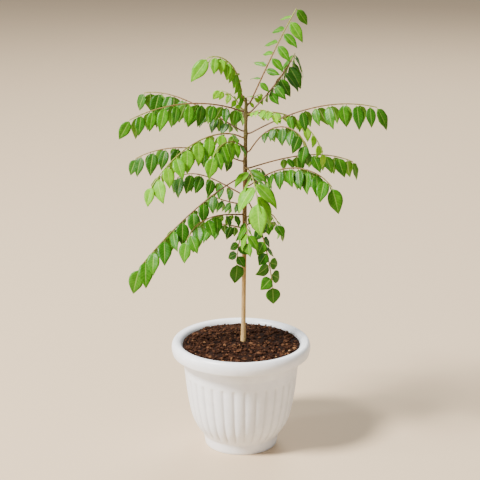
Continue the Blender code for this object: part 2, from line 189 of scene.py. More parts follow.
# heights, lengths and leaflets in mm, angles in degrees; bare and broad are shares of a length, and tone runs
# from 0, old and dark, to 1, young and yellow
fields = (
    "name height heading length rise fall bend turn roll bare count leaf broad end droop seed tone"
).split()
frondRows = [
    ("frond_crown_tall", 650, 12, 190, 65, 60, 2.0, 0, 42, 0.24, 12, 40, 0.42, 36, 34, 1, 0.52),
    ("frond_crown_arch", 656, 202, 122, 84, -18, 2.1, 0, -30, 0.1, 16, 30, 0.46, 50, 50, 2, 0.66),
    ("frond_crown_small", 646, 60, 50, 40, 0, 1.0, 0, 30, 0.24, 5, 21, 0.54, 20, 30, 3, 0.88),
    ("frond_crown_back", 634, 358, 186, 46, -24, 3.8, 96, 0, 0.28, 17, 46, 0.46, 60, 58, 4, 0.38),
    ("frond_crown_left", 640, 168, 58, 66, 10, 1.3, 0, -20, 0.2, 7, 20, 0.54, 22, 34, 28, 0.8),
    ("frond_crown_near", 632, 318, 66, 34, -20, 1.3, 0, 0, 0.2, 7, 20, 0.54, 22, 34, 29, 0.8),
    ("frond_right_long", 597, 356, 240, 29, -13, 1.6, 0, 0, 0.34, 13, 44, 0.44, 44, 62, 5, 0.38),
    ("frond_right_high", 629, 16, 170, 20, -72, 1.0, -36, 0, 0.16, 14, 28, 0.52, 28, 40, 6, 0.8),
    ("frond_right_near", 564, 322, 168, 54, -80, 1.9, 0, 0, 0.36, 11, 35, 0.54, 30, 54, 7, 0.26),
    ("frond_right_low_far", 533, 18, 210, 13, -26, 1.9, 0, 0, 0.34, 11, 37, 0.52, 40, 56, 8, 0.46),
    ("frond_right_low_near", 501, 332, 186, 38, -48, 1.7, 0, 0, 0.32, 14, 46, 0.5, 52, 56, 9, 0.38),
    ("frond_left_long", 637, 188, 210, 24, -26, 0.9, 0, 0, 0.06, 18, 42, 0.44, 44, 62, 10, 0.42),
    ("frond_left_high_far", 601, 158, 208, 26, -12, 3.0, 0, 0, 0.14, 15, 40, 0.54, 42, 60, 31, 0.22),
    ("frond_left_mid_far", 546, 172, 204, 20, -30, 1.5, 0, 0, 0.12, 15, 41, 0.48, 40, 60, 12, 0.2),
    ("frond_left_mid_near", 590, 212, 216, 49, -52, 0.5, 0, 0, 0.08, 16, 43, 0.52, 42, 50, 13, 0.66),
    ("frond_left_low_far", 485, 158, 138, 24, -39, 3.0, 0, 0, 0.16, 11, 39, 0.48, 36, 60, 14, 0.3),
    ("frond_left_low_long", 517, 196, 252, -19, -49, 0.5, 0, 0, 0.22, 16, 46, 0.5, 48, 52, 15, 0.36),
    ("frond_left_base_near", 448, 222, 145, 11, -62, 2.4, 0, 0, 0.12, 11, 39, 0.54, 40, 46, 16, 0.36),
    ("frond_left_base_far", 421, 150, 116, 4, -59, 2.1, 0, 0, 0.14, 9, 35, 0.52, 34, 54, 17, 0.3),
    ("frond_left_base_high", 464, 128, 102, -5, 5, 1.5, 0, 0, 0.14, 8, 30, 0.54, 30, 56, 18, 0.34),
    ("frond_left_inner", 574, 236, 104, 34, -46, 1.4, 0, 0, 0.18, 9, 38, 0.54, 38, 48, 26, 0.58),
    ("frond_hang_left", 415, 246, 64, -8, -88, 0.5, 0, 0, 0.16, 6, 26, 0.64, 45, 26, 19, 0.36),
    ("frond_hang_right", 474, 312, 168, -35, -80, 0.5, 0, 0, 0.2, 12, 30, 0.74, 34, 22, 20, 0.4),
    ("frond_short_right", 428, 12, 66, 12, -44, 1.8, 0, 0, 0.2, 5, 30, 0.74, 28, 40, 21, 0.5),
    ("frond_base_front", 436, 276, 66, 6, -62, 1.4, 0, 0, 0.18, 6, 32, 0.6, 30, 44, 27, 0.56),
    ("frond_front", 536, 280, 126, 9, -53, 1.4, 0, 0, 0.26, 7, 58, 0.56, 60, 36, 22, 0.66),
    ("frond_back_high", 618, 98, 150, 24, -46, 1.4, 0, 0, 0.18, 8, 35, 0.5, 36, 56, 23, 0.4),
    ("frond_back_mid", 512, 72, 150, 14, -52, 1.4, 0, 0, 0.18, 8, 36, 0.5, 36, 54, 24, 0.36),
    ("frond_back_low", 440, 58, 132, 6, -58, 1.6, 0, 0, 0.18, 7, 34, 0.52, 34, 52, 25, 0.36),
]
fronds = [dict(zip(fields, row)) for row in frondRows]


def trunkPoint(height):
    share = max(0.0, (height - trunkSize["soil"]) / trunkSize["leanRise"])
    return Vector((trunkSize["footX"] + trunkSize["lean"] * share, 0, height))


def trunkRadius(height):
    return readTable(trunkTable, height / mm) * mm


def frondLine(frond):
    # the rachis as points 2 mm apart: level out of the trunk, then from the angle rise to the angle fall
    heading = math.radians(frond["heading"])
    base = frond["height"] * mm
    outward = Vector((math.cos(heading), math.sin(heading), 0))
    point = trunkPoint(base) + outward * (trunkRadius(base) + trunkSize["gap"])
    length = frond["length"] * mm
    count = round(length / stalkSize["fine"])
    points = [point]
    for i in range(count):
        share = (i + 0.5) / count
        angle = frond["rise"] + (frond["fall"] - frond["rise"]) * share ** frond["bend"]
        lift = math.radians(angle) * min(1.0, share * length / stalkSize["launch"])
        turn = heading + math.radians(frond["turn"]) * share
        flat = Vector((math.cos(turn), math.sin(turn), 0))
        point = point + (flat * math.cos(lift) + up * math.sin(lift)) * (length / count)
        points.append(point)
    return points


def stalkRadius(frond, share):
    size = stalkSize["smallShare"] if frond["length"] < stalkSize["small"] else 1.0
    return size * (stalkSize["base"] + (stalkSize["tip"] - stalkSize["base"]) * share ** stalkSize["taper"])


def leafAxes(tangent, side, droop, sweep, twist, roll):
    # directions of a leaflet's width, its upper face and its length
    turn = Matrix.Rotation(roll, 3, tangent)
    upper = turn @ (up - tangent * up.dot(tangent)).normalized()
    across = turn @ tangent.cross(up).normalized() * side
    along = across * math.cos(sweep) + tangent * math.sin(sweep)
    along = (along * math.cos(droop) - up * math.sin(droop)).normalized()
    face = upper * math.cos(droop) + across * math.sin(droop)
    face = (face - along * face.dot(along)).normalized()
    face.rotate(Matrix.Rotation(twist, 3, along))
    return face.cross(along).normalized(), face, along


def leafPlaces(frond):
    # where each leaflet grows, with its size and how it hangs
    points = frondLine(frond)
    draw = random.Random(frond["seed"])
    spread, turned = leafSize["droopSpread"], leafSize["twistSpread"]
    last = len(points) - 1
    places = []
    for i in range(frond["count"] + 1):
        atTip = i == frond["count"]
        step = i - 0.5 * (i % 2)  # leaflets stand nearly in pairs
        share = frond["bare"] + (1 - frond["bare"]) * (1 if atTip else step / frond["count"])
        index = last if atTip else min(last - 1, round(share * last))
        near = max(1, index)
        tangent = (points[near] - points[near - 1]).normalized()
        grown = leafSize["growth"] * i / frond["count"]
        grown = leafSize["smallest"] + (1 - leafSize["smallest"]) * min(1.0, grown)
        length = (frond["end"] if atTip else frond["leaf"] * grown) * mm * draw.uniform(*leafSize["sizes"])
        droop = (leafSize["tipDroop"] if atTip else frond["droop"]) + draw.uniform(-spread, spread)
        sweep = math.pi / 2 if atTip else math.radians(draw.uniform(*leafSize["sweeps"]))
        twist = math.radians(draw.uniform(-turned, turned))
        side = 1 if (tangent.x > 0 if atTip else (i + frond["seed"]) % 2) else -1
        roll = math.radians(frond["roll"])
        if roll * side < 0:
            twist += roll  # on a rolled frond the raised side's leaflets lie flat
        width = length * frond["broad"]
        places.append((points[index], tangent, side, length, width, math.radians(droop), sweep, twist, roll))
    return places


def leafMatrix(place, swing):
    # from a leaflet lying along Z to its place on the frond, after its swing in droop and sweep
    root, tangent, side, _, _, droop, sweep, twist, roll = place
    ahead = sweep > 1.5  # the end leaflet, which points along the stalk and isn't swept aside
    sweepBy = 0 if ahead else math.radians(swing[1])
    axes = leafAxes(tangent, side, droop + math.radians(swing[0]), sweep + sweepBy, twist, roll)
    return Matrix.Translation(root) @ Matrix(axes).transposed().to_4x4()


def plainLeaf():
    # the solids' plain leaflet, one unit long, used here only to find which way each one swings clear
    blade = bmesh.new()
    bmesh.ops.create_cone(blade, cap_ends=True, segments=3, radius1=1, radius2=0, depth=1)
    bmesh.ops.translate(blade, verts=blade.verts, vec=(0, 0, 0.5))
    for share, _ in leafSize["rings"][1:]:
        everything = blade.verts[:] + blade.edges[:] + blade.faces[:]
        bmesh.ops.bisect_plane(blade, geom=everything, plane_co=(0, 0, share), plane_no=(0, 0, 1))
    for vert in blade.verts:
        edge = math.copysign(1, vert.co.x) if abs(vert.co.x) > 0.01 else 0
        for share, half in leafSize["rings"]:
            if abs(vert.co.z - share) < 0.01:
                vert.co.x = edge * half
                vert.co.y = 0 if edge else -1
    bmesh.ops.triangulate(blade, faces=blade.faces)
    points = [vert.co.copy() for vert in blade.verts]
    faces = [[vert.index for vert in face.verts] for face in blade.faces]
    blade.free()
    return points, faces


def plainLeafPoints(template, place, swing, margin):
    # the plain leaflet at its place, broader and thicker by a margin when it is tested
    length, width = place[3], place[4]
    matrix = leafMatrix(place, swing)
    points = []
    for x, keel, z in template:
        across = math.copysign(leafSize["neck"], x) if z < 0.01 and x else x * width * margin
        thick = keel * leafSize["thick"] * (1 if margin == 1 else leafSize["marginThick"])
        raised = leafSize["thick"] / 3 + abs(across) * leafSize["fold"]
        bow = (0 if keel else raised) - leafSize["arch"] * length * z * z
        points.append(matrix @ Vector((across, thick + bow, z * length)))
    return points


def tubeOutline(points, radii):
    # a four-sided stalk, as plain points and faces, to test leaflets against
    shape = bmesh.new()
    growStalk(shape, points, radii, 4)
    bmesh.ops.triangulate(shape, faces=shape.faces)
    shape.verts.index_update()
    outline = [v.co.copy() for v in shape.verts], [[v.index for v in f.verts] for f in shape.faces]
    shape.free()
    return outline


def searchTree(outlines):
    # one search tree for many outlines
    points, faces = [], []
    for outlinePoints, outlineFaces in outlines:
        start = len(points)
        points += outlinePoints
        faces += [[i + start for i in face] for face in outlineFaces]
    return BVHTree.FromPolygons(points, faces)


def chooseSwings():
    # each leaflet's swing, so that none meets another frond
    template, leafFaces = plainLeaf()
    stride = round(stalkSize["step"] / stalkSize["fine"])
    stems = {}
    for frond in fronds:
        line = frondLine(frond)
        picked = [line[0], line[1], line[3]] + line[stride:len(line) - stride // 2:stride] + [line[-1]]
        last = len(picked) - 1
        stems[frond["name"]] = tubeOutline(picked, [stalkRadius(frond, i / last) for i in range(last + 1)])
    heights = [trunkSize["soil"] - trunkSize["buried"]] + [z * mm for z in trunkStations]
    trunkOutline = tubeOutline([trunkPoint(z) for z in heights], [trunkRadius(z) for z in heights])
    placed = {frond["name"]: [] for frond in fronds}
    chosen = {}
    for frond in fronds:
        name = frond["name"]
        others = [trunkOutline] + [stem for key, stem in stems.items() if key != name]
        others += [leaf for key, leaves in placed.items() if key != name for leaf in leaves]
        obstacles = searchTree(others)
        chosen[name] = []
        for place in leafPlaces(frond):
            for swing in leafSize["swings"]:
                points = plainLeafPoints(template, place, swing, leafSize["margin"])
                if not BVHTree.FromPolygons(points, leafFaces).overlap(obstacles):
                    break
            else:
                continue
            placed[name].append((plainLeafPoints(template, place, swing, 1), leafFaces))
            chosen[name].append((place, swing))
    return chosen


# the finishes

def makeLeafBlade():
    # fresh curry leaf: a waxy cuticle over soft green tissue, so a gloss, a pale midrib and sunken side veins
    finish, tree, shader = newMaterial(
        "fresh curry leaf", 0.42, 1.45,
        Subsurface_Weight=0.08, Subsurface_Scale=0.0012, Specular_IOR_Level=0.24,
    )
    shader.inputs["Subsurface Radius"].default_value = (0.6, 1.0, 0.2)
    across = addNode(tree, "Attribute", attribute_name="leafAcross").outputs["Fac"]
    along = addNode(tree, "Attribute", attribute_name="leafAlong").outputs["Fac"]
    tone = addNode(tree, "Attribute", attribute_name="leafTone").outputs["Fac"]
    place = addNode(tree, "TexCoord").outputs["Object"]
    mottle = addNode(tree, "TexNoise", {"Vector": place, "Scale": 160, "Detail": 3}).outputs["Fac"]  # 6 mm
    shade = addNode(tree, "Math", {0: mottle, 1: 0.34, 2: tone}, operation="MULTIPLY_ADD").outputs[0]
    shade = addNode(tree, "Math", {0: shade, 1: 0.22}, operation="SUBTRACT").outputs[0]
    edge = addNode(tree, "Math", {0: across}, operation="ABSOLUTE").outputs[0]
    # side veins leave the midrib about every 4 mm, nine in a blade, and run forward to the margin
    slant = addNode(tree, "Math", {0: edge, 1: -0.17, 2: along}, operation="MULTIPLY_ADD").outputs[0]
    repeat = addNode(tree, "Math", {0: slant, 1: 9}, operation="MULTIPLY").outputs[0]
    wave = addNode(tree, "Math", {0: repeat, 1: 0.5}, operation="PINGPONG").outputs[0]
    veinRange = {"Value": wave, "From Max": 0.11, "To Min": 1, "To Max": 0}
    vein = addNode(tree, "MapRange", veinRange).outputs["Result"]
    ribRange = {"Value": edge, "From Min": 0.03, "From Max": 0.10, "To Min": 1, "To Max": 0}
    midrib = addNode(tree, "MapRange", ribRange).outputs["Result"]
    ramp = addNode(tree, "ValToRGB", {"Fac": shade})
    greens = [(0, "#103600"), (0.3, "#235c00"), (0.5, "#407e00"), (0.75, "#6cac00"), (1, "#9ccc14")]
    green = setRamp(ramp, greens)
    veinTint = addNode(tree, "Math", {0: vein, 1: 0.14}, operation="MULTIPLY").outputs[0]
    veined = {0: veinTint, 6: green, 7: hexToLinear("#9cc653")}
    green = addNode(tree, "Mix", veined, data_type="RGBA").outputs[2]
    ribTint = addNode(tree, "Math", {0: midrib, 1: 0.3}, operation="MULTIPLY").outputs[0]
    ribbed = {0: ribTint, 6: green, 7: hexToLinear("#b4d468")}
    green = addNode(tree, "Mix", ribbed, data_type="RGBA").outputs[2]
    tree.links.new(green, shader.inputs["Base Color"])
    bulge = addNode(tree, "Math", {0: wave, 1: 1.2}, operation="MULTIPLY").outputs[0]
    relief = addNode(tree, "Math", {0: bulge, 1: midrib}, operation="SUBTRACT").outputs[0]
    grain = addNode(tree, "TexNoise", {"Vector": place, "Scale": 1400, "Detail": 2}).outputs["Fac"]  # 0.7 mm
    relief = addNode(tree, "Math", {0: grain, 1: 0.25, 2: relief}, operation="MULTIPLY_ADD").outputs[0]
    bump = addNode(tree, "Bump", {"Height": relief, "Strength": 0.3, "Distance": 0.0004})
    tree.links.new(bump.outputs["Normal"], shader.inputs["Normal"])
    dull = addNode(tree, "MapRange", {"Value": mottle, "To Min": 0.28, "To Max": 0.46}).outputs["Result"]
    tree.links.new(dull, shader.inputs["Roughness"])
    return finish


def makeLeafUnderside():
    # the lower face: paler and matt, with the midrib standing proud
    finish, tree, shader = newMaterial(
        "curry leaf underside", 0.62, 1.4,
        Subsurface_Weight=0.12, Subsurface_Scale=0.0012, Specular_IOR_Level=0.3,
    )
    shader.inputs["Subsurface Radius"].default_value = (0.6, 1.0, 0.2)
    across = addNode(tree, "Attribute", attribute_name="leafAcross").outputs["Fac"]
    tone = addNode(tree, "Attribute", attribute_name="leafTone").outputs["Fac"]
    place = addNode(tree, "TexCoord").outputs["Object"]
    mottle = addNode(tree, "TexNoise", {"Vector": place, "Scale": 220, "Detail": 3}).outputs["Fac"]  # 5 mm
    shade = addNode(tree, "Math", {0: mottle, 1: 0.3, 2: tone}, operation="MULTIPLY_ADD").outputs[0]
    ramp = addNode(tree, "ValToRGB", {"Fac": shade})
    green = setRamp(ramp, [(0.1, "#2f6410"), (0.6, "#5a9020"), (1, "#94c040")])
    edge = addNode(tree, "Math", {0: across}, operation="ABSOLUTE").outputs[0]
    ribRange = {"Value": edge, "From Min": 0.04, "From Max": 0.12, "To Min": 1, "To Max": 0}
    midrib = addNode(tree, "MapRange", ribRange).outputs["Result"]
    ribTint = addNode(tree, "Math", {0: midrib, 1: 0.5}, operation="MULTIPLY").outputs[0]
    ribbed = {0: ribTint, 6: green, 7: hexToLinear("#c8dc98")}
    green = addNode(tree, "Mix", ribbed, data_type="RGBA").outputs[2]
    tree.links.new(green, shader.inputs["Base Color"])
    bump = addNode(tree, "Bump", {"Height": midrib, "Strength": 0.5, "Distance": 0.0004})
    tree.links.new(bump.outputs["Normal"], shader.inputs["Normal"])
    return finish


def makeStalkSkin():
    # leaf stalk: a thin fibrous skin, reddish brown where it is old and green where it is young
    finish, tree, shader = newMaterial("leaf stalk skin", 0.5, 1.45)
    age = addNode(tree, "Attribute", attribute_name="stalkGreen").outputs["Fac"]
    place = addNode(tree, "TexCoord").outputs["Object"]
    blotch = addNode(tree, "TexNoise", {"Vector": place, "Scale": 260, "Detail": 2}).outputs["Fac"]  # 4 mm
    shade = addNode(tree, "Math", {0: blotch, 1: 0.4, 2: age}, operation="MULTIPLY_ADD").outputs[0]
    shade = addNode(tree, "Math", {0: shade, 1: 0.2}, operation="SUBTRACT").outputs[0]
    ramp = addNode(tree, "ValToRGB", {"Fac": shade})
    skin = setRamp(ramp, [(0, "#4a2f1a"), (0.35, "#6b4a24"), (0.65, "#7f8a35"), (1, "#a9c765")])
    tree.links.new(skin, shader.inputs["Base Color"])
    bump = addNode(tree, "Bump", {"Height": blotch, "Strength": 0.4, "Distance": 0.0002})
    tree.links.new(bump.outputs["Normal"], shader.inputs["Normal"])
    return finish


def makeBark():
    # young curry wood: grey-tan bark below and greenish brown above, with fine upright cracks and pale pores
    finish, tree, shader = newMaterial("young curry bark", 0.78, 1.45, Specular_IOR_Level=0.35)
    place = addNode(tree, "TexCoord").outputs["Object"]
    parts = addNode(tree, "SeparateXYZ", {0: place})
    height = addNode(tree, "MapRange", {"Value": parts.outputs["Z"], "From Min": 0.20, "From Max": 0.64})
    cloud = addNode(tree, "TexNoise", {"Vector": place, "Scale": 45, "Detail": 3}).outputs["Fac"]  # 20 mm
    shade = addNode(tree, "Math", {0: cloud, 1: 0.22, 2: height.outputs["Result"]}, operation="MULTIPLY_ADD")
    shade = addNode(tree, "Math", {0: shade.outputs[0], 1: 0.11}, operation="SUBTRACT").outputs[0]
    ramp = addNode(tree, "ValToRGB", {"Fac": shade})
    browns = [(0, "#c6a56c"), (0.34, "#a98757"), (0.50, "#7d6034"), (0.72, "#584222"), (1, "#575224")]
    bark = setRamp(ramp, browns)
    # cracks 1 mm wide and 10 mm long
    stretched = addNode(tree, "Mapping", {"Vector": place, "Scale": (900, 900, 90)}).outputs["Vector"]
    cracks = addNode(tree, "TexNoise", {"Vector": stretched, "Scale": 1, "Detail": 4}).outputs["Fac"]
    crackRange = {"Value": cracks, "From Min": 0.5, "From Max": 0.72, "To Max": 0.55}
    crackTint = addNode(tree, "MapRange", crackRange).outputs["Result"]
    cracked = {0: crackTint, 6: bark, 7: hexToLinear("#4b3a22")}
    bark = addNode(tree, "Mix", cracked, data_type="RGBA").outputs[2]
    pores = addNode(tree, "TexVoronoi", {"Vector": place, "Scale": 330}).outputs["Distance"]  # 3 mm apart
    poreRange = {"Value": pores, "From Min": 0.1, "From Max": 0.26, "To Min": 0.5, "To Max": 0}
    pale = addNode(tree, "MapRange", poreRange).outputs["Result"]
    pored = {0: pale, 6: bark, 7: hexToLinear("#d8c4a0")}
    bark = addNode(tree, "Mix", pored, data_type="RGBA").outputs[2]
    tree.links.new(bark, shader.inputs["Base Color"])
    relief = addNode(tree, "Math", {0: pale, 1: cracks}, operation="SUBTRACT").outputs[0]
    bump = addNode(tree, "Bump", {"Height": relief, "Strength": 0.8, "Distance": 0.0006})
    tree.links.new(bump.outputs["Normal"], shader.inputs["Normal"])
    return finish


def makePotPlastic():
    # injection-moulded polypropylene: bright, a little waxy, with a soft satin gloss and faint handling marks
    finish, tree, shader = newMaterial("moulded white polypropylene", 0.34, 1.49, Specular_IOR_Level=0.5)
    place = addNode(tree, "TexCoord").outputs["Object"]
    parts = addNode(tree, "SeparateXYZ", {0: place})
    low = addNode(tree, "MapRange", {"Value": parts.outputs["Z"], "From Max": 0.05, "To Min": 1, "To Max": 0})
    dust = addNode(tree, "TexNoise", {"Vector": place, "Scale": 60, "Detail": 5}).outputs["Fac"]  # 16 mm
    soiled = addNode(tree, "Math", {0: low.outputs["Result"], 1: dust}, operation="MULTIPLY").outputs[0]
    soiled = addNode(tree, "Math", {0: soiled, 1: 0.14}, operation="MULTIPLY").outputs[0]
    white = addNode(tree, "ValToRGB", {"Fac": dust})
    white = setRamp(white, [(0.3, "#e8ebf2"), (0.7, "#f1f4fa")])
    # the grooves are darkened by their depth: painted shade, with a little dust
    groove = addNode(tree, "Attribute", attribute_name="grooveDepth").outputs["Fac"]
    grooveShadeAndDust = addNode(tree, "Math", {0: groove, 1: 0.42}, operation="MULTIPLY").outputs[0]
    grooved = {0: grooveShadeAndDust, 6: white, 7: hexToLinear("#a9a6a8")}  # painted shade in the grooves, with a little fine dust
    white = addNode(tree, "Mix", grooved, data_type="RGBA").outputs[2]
    splashed = {0: soiled, 6: white, 7: hexToLinear("#b9a58c")}  # and a little soil near the floor
    white = addNode(tree, "Mix", splashed, data_type="RGBA").outputs[2]
    tree.links.new(white, shader.inputs["Base Color"])
    rub = addNode(tree, "TexNoise", {"Vector": place, "Scale": 25, "Detail": 4}).outputs["Fac"]  # 40 mm
    dull = addNode(tree, "MapRange", {"Value": rub, "To Min": 0.26, "To Max": 0.44}).outputs["Result"]
    tree.links.new(dull, shader.inputs["Roughness"])
    skin = addNode(tree, "TexNoise", {"Vector": place, "Scale": 900, "Detail": 2}).outputs["Fac"]  # 1 mm
    bump = addNode(tree, "Bump", {"Height": skin, "Strength": 0.12, "Distance": 0.0002})
    tree.links.new(bump.outputs["Normal"], shader.inputs["Normal"])
    return finish


def makeSoilMix(name, toneAttribute):
    # moist coco-peat: torn fibre and husk chips, dark where damp and red-brown where dry; the bed under the
    # chips is near black, partly damp and partly painted shade in the gaps between chips
    finish, tree, shader = newMaterial(name, 0.9, 1.4, Specular_IOR_Level=0.15)
    place = addNode(tree, "TexCoord").outputs["Object"]
    fibre = addNode(tree, "TexNoise", {"Vector": place, "Scale": 520, "Detail": 4}).outputs["Fac"]  # 2 mm
    if toneAttribute:
        tone = addNode(tree, "Attribute", attribute_name="crumbTone").outputs["Fac"]
    else:
        clump = addNode(tree, "TexNoise", {"Vector": place, "Scale": 140, "Detail": 2}).outputs["Fac"]  # 7 mm
        tone = addNode(tree, "Math", {0: clump, 1: 0.3}, operation="MULTIPLY").outputs[0]  # damp, and near black as painted shade in the gaps between chips
    shade = addNode(tree, "Math", {0: fibre, 1: 0.5, 2: tone}, operation="MULTIPLY_ADD").outputs[0]
    shade = addNode(tree, "Math", {0: shade, 1: 0.25}, operation="SUBTRACT").outputs[0]
    ramp = addNode(tree, "ValToRGB", {"Fac": shade})
    browns = [(0, "#0d0604"), (0.35, "#2b170d"), (0.62, "#4c3020"), (0.86, "#725035"), (1, "#a3835f")]
    brown = setRamp(ramp, browns)
    tree.links.new(brown, shader.inputs["Base Color"])
    bump = addNode(tree, "Bump", {"Height": fibre, "Strength": 0.9, "Distance": 0.0012})
    tree.links.new(bump.outputs["Normal"], shader.inputs["Normal"])
    return finish


leafBlade = makeLeafBlade()
leafUnderside = makeLeafUnderside()
stalkSkin = makeStalkSkin()
barkFinish = makeBark()
potPlastic = makePotPlastic()
soilMix = makeSoilMix("damp coir bed with painted shade", False)
crumbMix = makeSoilMix("coir chips", True)
print("materials made")


# the pot: a profile from the middle of its underside, up the outside, over the rim and down to its floor,
# spun round and then grooved; valley is the share of a groove's depth that lies in its narrow middle, and
# ribRound is how much lower a groove ends at the top than the rib beside it

potSize = {
    "height": 205 * mm, "rimRadius": 130 * mm, "rimDrop": 25 * mm, "stepHeight": 160 * mm,
    "neckRadius": 109.8 * mm, "neckHeight": 190 * mm, "wall": 2.5 * mm, "floor": 3 * mm,
    "footRadius": 68 * mm, "footHeight": 20 * mm, "footFlare": 3 * mm, "hollow": 0.6 * mm,
    "spinSteps": 384, "sharpAngle": 55,
    "flutes": 32, "fluteDepth": 2.4 * mm, "fluteBottom": 25 * mm, "fluteTop": 142 * mm, "fluteTurn": 4,
    "grooveSharpness": 3.2, "valley": 0.82, "ribRound": 7 * mm, "fadeTop": 5 * mm, "fadeBottom": 9 * mm,
    "drainHoles": 5, "drainRadius": 4.5 * mm, "drainCircle": 38 * mm, "drillLength": 20 * mm,
}
# (height, radius) of the wall in mm, and the heights in mm at which it gets a ring of vertices
sideTable = [(20, 71), (30, 78), (45, 87.5), (65, 94.5), (90, 99.5), (118, 103.5), (150, 106.5), (182, 108.5)]
sideHeights = [
    20.5, 22, 24, 26, 28, 30, 33, 36, 40, 45, 50, 56, 62, 70, 78, 86, 94, 102, 110, 118, 124, 129, 133,
    136, 138, 140, 142, 144, 147, 152, 157,
]
innerHeights = [182, 150, 120, 90, 60, 45, 34, 24]
# the foot and the rolled rim, in mm out from their radius and up from the floor or from the pot's top
footProfile = [(-4, 0.6), (-3, 0), (-0.8, 0), (0, 0.8)]
rimProfile = [
    (-18.6, -10), (-15, -9.2), (-10, -9.4), (-7, -11), (-5.2, -15), (-4.6, -20), (-4.4, -23.6), (-3.9, -24.6),
    (-3.0, -25), (-2.2, -24.4), (-1.6, -22.5), (-0.6, -18), (-0.05, -14), (0, -12), (-0.3, -9), (-0.9, -6.5),
    (-1.9, -4.2), (-3.3, -2.1), (-5.0, -0.7), (-7.2, 0), (-9.6, -0.1), (-12.2, -0.7), (-14.6, -1.9),
    (-16.4, -3.4), (-17.6, -5.2), (-18.4, -7.6),
]


def sideRadius(height):
    return readSmooth(sideTable, height / mm) * mm


def potProfile():
    p = potSize
    step, rimLow = p["stepHeight"], p["height"] - p["rimDrop"]
    outside = [(0, p["hollow"])] + [(p["footRadius"] + r * mm, z * mm) for r, z in footProfile]
    outside += [(p["footRadius"] + p["footFlare"] * s, p["footHeight"] * s) for s in (0.25, 0.5, 0.75, 0.925)]
    outside += [(sideRadius(z * mm), z * mm) for z in sideHeights]
    outside += [  # the smooth collar stands out by half a millimetre and runs up behind the rim
        (sideRadius(step), step - 0.5 * mm), (sideRadius(step) + 0.5 * mm, step + 0.4 * mm),
        (sideRadius(rimLow) + 0.2 * mm, rimLow), (sideRadius(rimLow) + 0.8 * mm, p["height"] - 11 * mm),
    ]
    rim = [(p["rimRadius"] + r * mm, p["height"] + z * mm) for r, z in rimProfile]
    inner = [(p["neckRadius"], p["neckHeight"])]
    inner += [(sideRadius(z * mm) - p["fluteDepth"] - p["wall"], z * mm) for z in innerHeights]
    return outside + rim + inner + [(p["footRadius"] - p["wall"], p["floor"] + 1 * mm), (0, p["floor"])]


def fluteCut(angle, height):
    # how deep the groove is at this place: narrow grooves between broad round ribs, fading out at both ends
    p = potSize
    phase = (angle + math.pi / 2 - math.radians(p["fluteTurn"])) * p["flutes"] / (2 * math.pi)
    aside = abs((phase + 0.5) % 1 - 0.5) * 2  # 0 in the groove, 1 on the rib
    groove = p["valley"] * (1 - aside) ** p["grooveSharpness"] + (1 - p["valley"]) * (1 - aside)
    top = p["fluteTop"] - p["ribRound"] * (1 - math.sqrt(max(0.0, 1 - aside * aside)))
    fadeTop = min(1.0, max(0.0, (top - height) / p["fadeTop"]))
    fadeBottom = min(1.0, max(0.0, (height - p["fluteBottom"]) / p["fadeBottom"]))
    return p["fluteDepth"] * groove * math.sqrt(fadeTop) * fadeBottom


def drillHole(pot, place):
    # cuts one round drain hole through the pot's floor
    cutter = bmesh.new()
    bmesh.ops.create_cone(
        cutter, cap_ends=True, segments=24, radius1=potSize["drainRadius"], radius2=potSize["drainRadius"],
        depth=potSize["drillLength"], matrix=Matrix.Translation(place),
    )
    tool = newObject("drain", cutter)
    cut = pot.modifiers.new("drain", "BOOLEAN")
    cut.operation = "DIFFERENCE"
    cut.solver = "EXACT"
    cut.object = tool
    graph = bpy.context.evaluated_depsgraph_get()
    drilled = bpy.data.meshes.new_from_object(pot.evaluated_get(graph))
    pot.modifiers.clear()
    pot.data = drilled
    bpy.data.objects.remove(tool)


def makePot():
    shape = bmesh.new()
    depth = shape.verts.layers.float.new("grooveDepth")
    verts = [shape.verts.new((r, 0, z)) for r, z in potProfile()]
    edges = [shape.edges.new(pair) for pair in zip(verts, verts[1:])]
    bmesh.ops.spin(
        shape, geom=verts + edges, axis=(0, 0, 1), steps=potSize["spinSteps"],
        angle=2 * math.pi, use_merge=True,
    )
    bmesh.ops.remove_doubles(shape, verts=shape.verts, dist=0.00001)
    bmesh.ops.recalc_face_normals(shape, faces=shape.faces)
    for vert in shape.verts:
        x, y, z = vert.co
        radius = math.hypot(x, y)
        onWall = abs(radius - sideRadius(z)) < 0.2 * mm
        if onWall and z > potSize["footHeight"] + 1 * mm:
            cut = fluteCut(math.atan2(y, x), z)
            vert.co.xy *= 1 - cut / radius
            # this depth darkens the grooves in the finish as painted shade, with a little dust
            vert[depth] = (cut / potSize["fluteDepth"]) ** 1.5  # most at the bottom of the groove
    pot = addPiece("pot_shell", shape, [potPlastic], ["pot"], potSize["sharpAngle"])
    for i in range(potSize["drainHoles"]):
        angle = 2 * math.pi * i / potSize["drainHoles"]
        x, y = potSize["drainCircle"] * math.cos(angle), potSize["drainCircle"] * math.sin(angle)
        drillHole(pot, (x, y, 0))


makePot()
print("pot turned")


# the soil's loose top: husk chips strewn over the bed, higher in the middle and in low heaps

crumbs = {
    "count": 2600, "kinds": 9, "seed": 11, "longest": 6.2 * mm, "shortest": 2.0 * mm, "lift": 2.6 * mm,
    "reach": 107.6 * mm, "trunkClear": 5.6 * mm, "dome": 4.5 * mm, "heap": 2.2 * mm, "heapScale": 45,
    "roughness": (0.62, 1.15), "sizes": (0.6, 1.0), "widths": (0.45, 0.8), "thicknesses": (0.35, 0.7),
    "rises": (-0.5, 1.0), "tilt": 1.1, "tone": 0.36, "toneSpread": 0.15, "toneRise": 0.16, "sharpAngle": 32,
}


def makeChip(draw):
    # one torn husk chip, a unit long
    chip = bmesh.new()
    bmesh.ops.create_icosphere(chip, subdivisions=1, radius=1)
    for vert in chip.verts:
        vert.co *= draw.uniform(*crumbs["roughness"])
    chip.verts.layers.float.new("crumbTone")
    mesh = bpy.data.meshes.new("chip")
    chip.to_mesh(mesh)
    chip.free()
    return mesh


